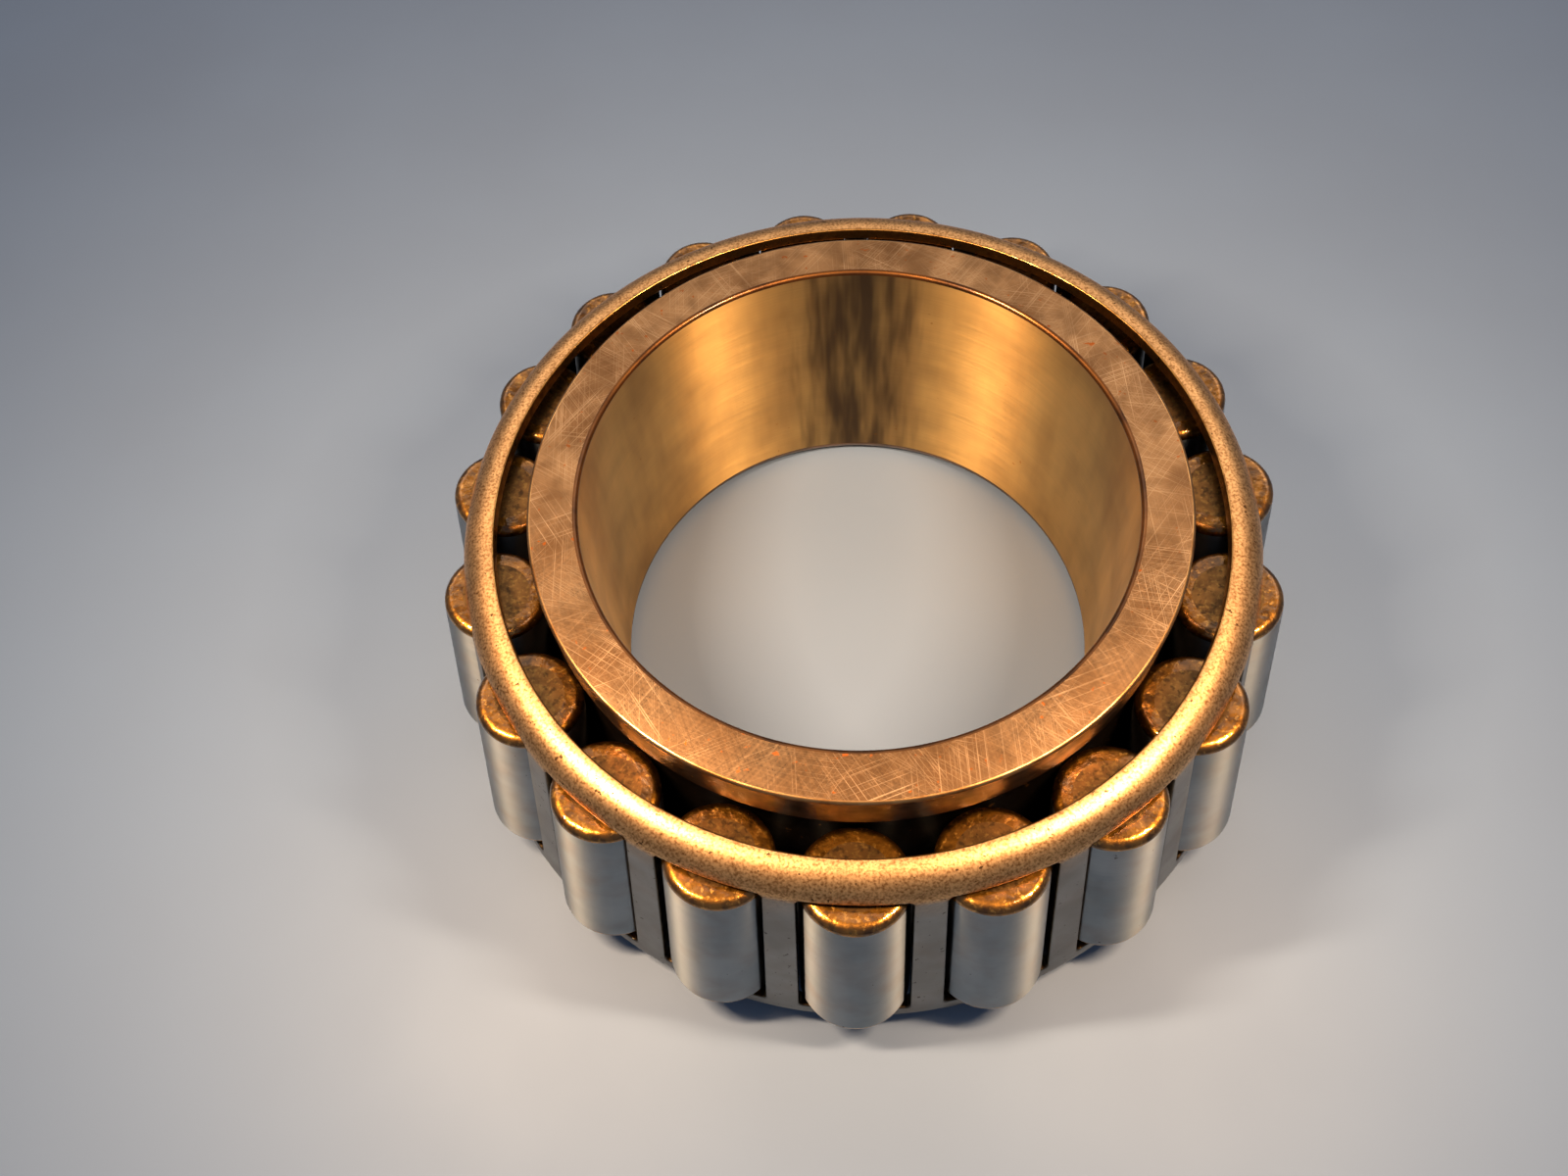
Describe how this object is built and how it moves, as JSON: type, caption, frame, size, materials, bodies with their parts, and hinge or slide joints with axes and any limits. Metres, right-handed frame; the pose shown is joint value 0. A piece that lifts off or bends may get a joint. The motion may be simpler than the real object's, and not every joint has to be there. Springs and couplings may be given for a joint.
{
  "type": "tapered roller bearing inner assembly",
  "caption": "Inner ring with conical raceway and two ribs, carrying a pressed-steel cage and a row of tapered rollers; the outer ring is not part of it.",
  "frame": {"origin": "on the bearing's axis, in the plane of the inner ring's large-end (back) face, on which the part stands", "axes": "+Z along the bearing's axis from the large end to the small end; the first roller is at -Y"},
  "size_m": [0.1292, 0.1289, 0.0467],
  "materials": {
    "ring_steel": "ground bearing steel with fine scratches and a film of old oil",
    "cage_steel": "pressed and tumbled sheet steel, satin, finely pitted",
    "roller_steel": "ground bearing steel, smooth on the outside, oily brown on the ends"
  },
  "bodies": {
    "inner_ring": {"inner_ring": "ring_steel"},
    "cage": {"cage": "cage_steel"},
    "roller_01": {"roller_01": "roller_steel"},
    "roller_02": {"roller_02": "roller_steel"},
    "roller_03": {"roller_03": "roller_steel"},
    "roller_04": {"roller_04": "roller_steel"},
    "roller_05": {"roller_05": "roller_steel"},
    "roller_06": {"roller_06": "roller_steel"},
    "roller_07": {"roller_07": "roller_steel"},
    "roller_08": {"roller_08": "roller_steel"},
    "roller_09": {"roller_09": "roller_steel"},
    "roller_10": {"roller_10": "roller_steel"},
    "roller_11": {"roller_11": "roller_steel"},
    "roller_12": {"roller_12": "roller_steel"},
    "roller_13": {"roller_13": "roller_steel"},
    "roller_14": {"roller_14": "roller_steel"},
    "roller_15": {"roller_15": "roller_steel"},
    "roller_16": {"roller_16": "roller_steel"},
    "roller_17": {"roller_17": "roller_steel"},
    "roller_18": {"roller_18": "roller_steel"},
    "roller_19": {"roller_19": "roller_steel"}
  },
  "joints": [
    {"name": "cage_turn", "type": "hinge", "parent": "inner_ring", "child": "cage", "pos_m": [0, 0, 0], "axis": [0, 0, 1], "continuous": true},
    {"name": "roller_01_spin", "type": "hinge", "parent": "cage", "child": "roller_01", "pos_m": [0, -0.05736, 0.00683], "axis": [0, 0.1822, 0.9833], "continuous": true},
    {"name": "roller_02_spin", "type": "hinge", "parent": "cage", "child": "roller_02", "pos_m": [0.01862, -0.05425, 0.00683], "axis": [-0.0592, 0.1724, 0.9833], "continuous": true},
    {"name": "roller_03_spin", "type": "hinge", "parent": "cage", "child": "roller_03", "pos_m": [0.03523, -0.04526, 0.00683], "axis": [-0.1119, 0.1438, 0.9833], "continuous": true},
    {"name": "roller_04_spin", "type": "hinge", "parent": "cage", "child": "roller_04", "pos_m": [0.04802, -0.03137, 0.00683], "axis": [-0.1526, 0.0997, 0.9833], "continuous": true},
    {"name": "roller_05_spin", "type": "hinge", "parent": "cage", "child": "roller_05", "pos_m": [0.0556, -0.01408, 0.00683], "axis": [-0.1767, 0.0447, 0.9833], "continuous": true},
    {"name": "roller_06_spin", "type": "hinge", "parent": "cage", "child": "roller_06", "pos_m": [0.05716, 0.00474, 0.00683], "axis": [-0.1816, -0.015, 0.9833], "continuous": true},
    {"name": "roller_07_spin", "type": "hinge", "parent": "cage", "child": "roller_07", "pos_m": [0.05253, 0.02304, 0.00683], "axis": [-0.1669, -0.0732, 0.9833], "continuous": true},
    {"name": "roller_08_spin", "type": "hinge", "parent": "cage", "child": "roller_08", "pos_m": [0.0422, 0.03885, 0.00683], "axis": [-0.1341, -0.1234, 0.9833], "continuous": true},
    {"name": "roller_09_spin", "type": "hinge", "parent": "cage", "child": "roller_09", "pos_m": [0.0273, 0.05045, 0.00683], "axis": [-0.0867, -0.1603, 0.9833], "continuous": true},
    {"name": "roller_10_spin", "type": "hinge", "parent": "cage", "child": "roller_10", "pos_m": [0.00944, 0.05658, 0.00683], "axis": [-0.03, -0.1798, 0.9833], "continuous": true},
    {"name": "roller_11_spin", "type": "hinge", "parent": "cage", "child": "roller_11", "pos_m": [-0.00944, 0.05658, 0.00683], "axis": [0.03, -0.1798, 0.9833], "continuous": true},
    {"name": "roller_12_spin", "type": "hinge", "parent": "cage", "child": "roller_12", "pos_m": [-0.0273, 0.05045, 0.00683], "axis": [0.0867, -0.1603, 0.9833], "continuous": true},
    {"name": "roller_13_spin", "type": "hinge", "parent": "cage", "child": "roller_13", "pos_m": [-0.0422, 0.03885, 0.00683], "axis": [0.1341, -0.1234, 0.9833], "continuous": true},
    {"name": "roller_14_spin", "type": "hinge", "parent": "cage", "child": "roller_14", "pos_m": [-0.05253, 0.02304, 0.00683], "axis": [0.1669, -0.0732, 0.9833], "continuous": true},
    {"name": "roller_15_spin", "type": "hinge", "parent": "cage", "child": "roller_15", "pos_m": [-0.05716, 0.00474, 0.00683], "axis": [0.1816, -0.015, 0.9833], "continuous": true},
    {"name": "roller_16_spin", "type": "hinge", "parent": "cage", "child": "roller_16", "pos_m": [-0.0556, -0.01408, 0.00683], "axis": [0.1767, 0.0447, 0.9833], "continuous": true},
    {"name": "roller_17_spin", "type": "hinge", "parent": "cage", "child": "roller_17", "pos_m": [-0.04802, -0.03137, 0.00683], "axis": [0.1526, 0.0997, 0.9833], "continuous": true},
    {"name": "roller_18_spin", "type": "hinge", "parent": "cage", "child": "roller_18", "pos_m": [-0.03523, -0.04526, 0.00683], "axis": [0.1119, 0.1438, 0.9833], "continuous": true},
    {"name": "roller_19_spin", "type": "hinge", "parent": "cage", "child": "roller_19", "pos_m": [-0.01862, -0.05425, 0.00683], "axis": [0.0592, 0.1724, 0.9833], "continuous": true}
  ],
  "couplings": [
    {"joint": "roller_01_spin", "follows": "cage_turn", "ratio": 6.3088},
    {"joint": "roller_02_spin", "follows": "cage_turn", "ratio": 6.3088},
    {"joint": "roller_03_spin", "follows": "cage_turn", "ratio": 6.3088},
    {"joint": "roller_04_spin", "follows": "cage_turn", "ratio": 6.3088},
    {"joint": "roller_05_spin", "follows": "cage_turn", "ratio": 6.3088},
    {"joint": "roller_06_spin", "follows": "cage_turn", "ratio": 6.3088},
    {"joint": "roller_07_spin", "follows": "cage_turn", "ratio": 6.3088},
    {"joint": "roller_08_spin", "follows": "cage_turn", "ratio": 6.3088},
    {"joint": "roller_09_spin", "follows": "cage_turn", "ratio": 6.3088},
    {"joint": "roller_10_spin", "follows": "cage_turn", "ratio": 6.3088},
    {"joint": "roller_11_spin", "follows": "cage_turn", "ratio": 6.3088},
    {"joint": "roller_12_spin", "follows": "cage_turn", "ratio": 6.3088},
    {"joint": "roller_13_spin", "follows": "cage_turn", "ratio": 6.3088},
    {"joint": "roller_14_spin", "follows": "cage_turn", "ratio": 6.3088},
    {"joint": "roller_15_spin", "follows": "cage_turn", "ratio": 6.3088},
    {"joint": "roller_16_spin", "follows": "cage_turn", "ratio": 6.3088},
    {"joint": "roller_17_spin", "follows": "cage_turn", "ratio": 6.3088},
    {"joint": "roller_18_spin", "follows": "cage_turn", "ratio": 6.3088},
    {"joint": "roller_19_spin", "follows": "cage_turn", "ratio": 6.3088}
  ]
}
